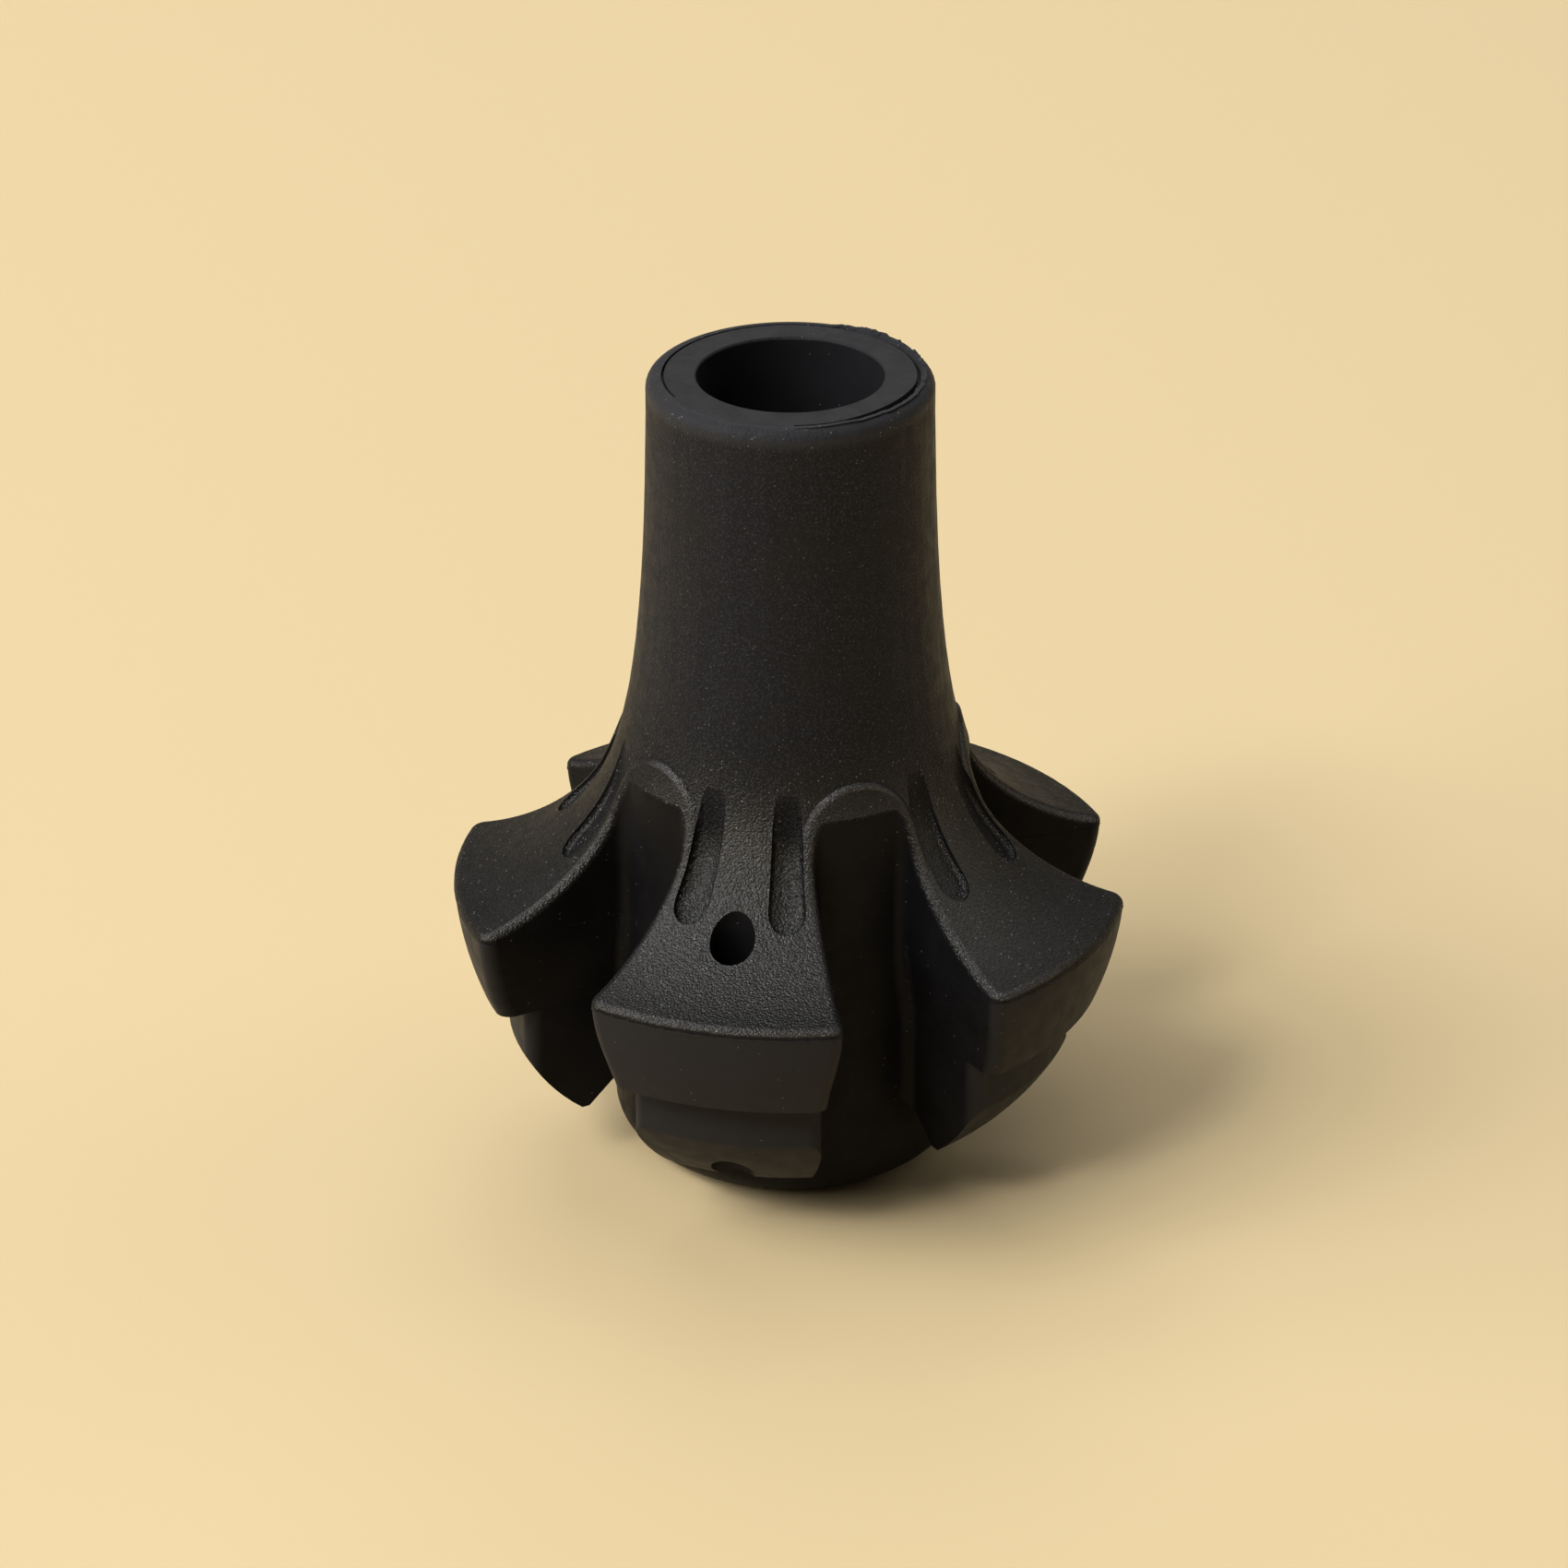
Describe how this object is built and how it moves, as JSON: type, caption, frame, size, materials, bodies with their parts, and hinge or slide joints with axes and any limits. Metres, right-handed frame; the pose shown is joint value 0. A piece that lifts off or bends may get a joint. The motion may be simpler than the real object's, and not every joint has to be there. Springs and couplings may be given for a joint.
{
  "type": "trekking pole tip",
  "caption": "Black moulded rubber tip for a trekking pole: a tapered sleeve with a blind bore that flares into five stepped lugs round a rounded foot.",
  "frame": {"origin": "centre of the flat standing face, on the pole axis", "axes": "+Z along the pole axis, out of the bore; -Y through the middle of the lug that has the cord hole"},
  "size_m": [0.041, 0.0402, 0.0509],
  "materials": {
    "rubber": "black moulded rubber, fine leathery grain on the sleeve and lug tops, smoother satin on the lug sides"
  },
  "bodies": {
    "root": {"rubber_tip": "rubber"}
  },
  "joints": []
}
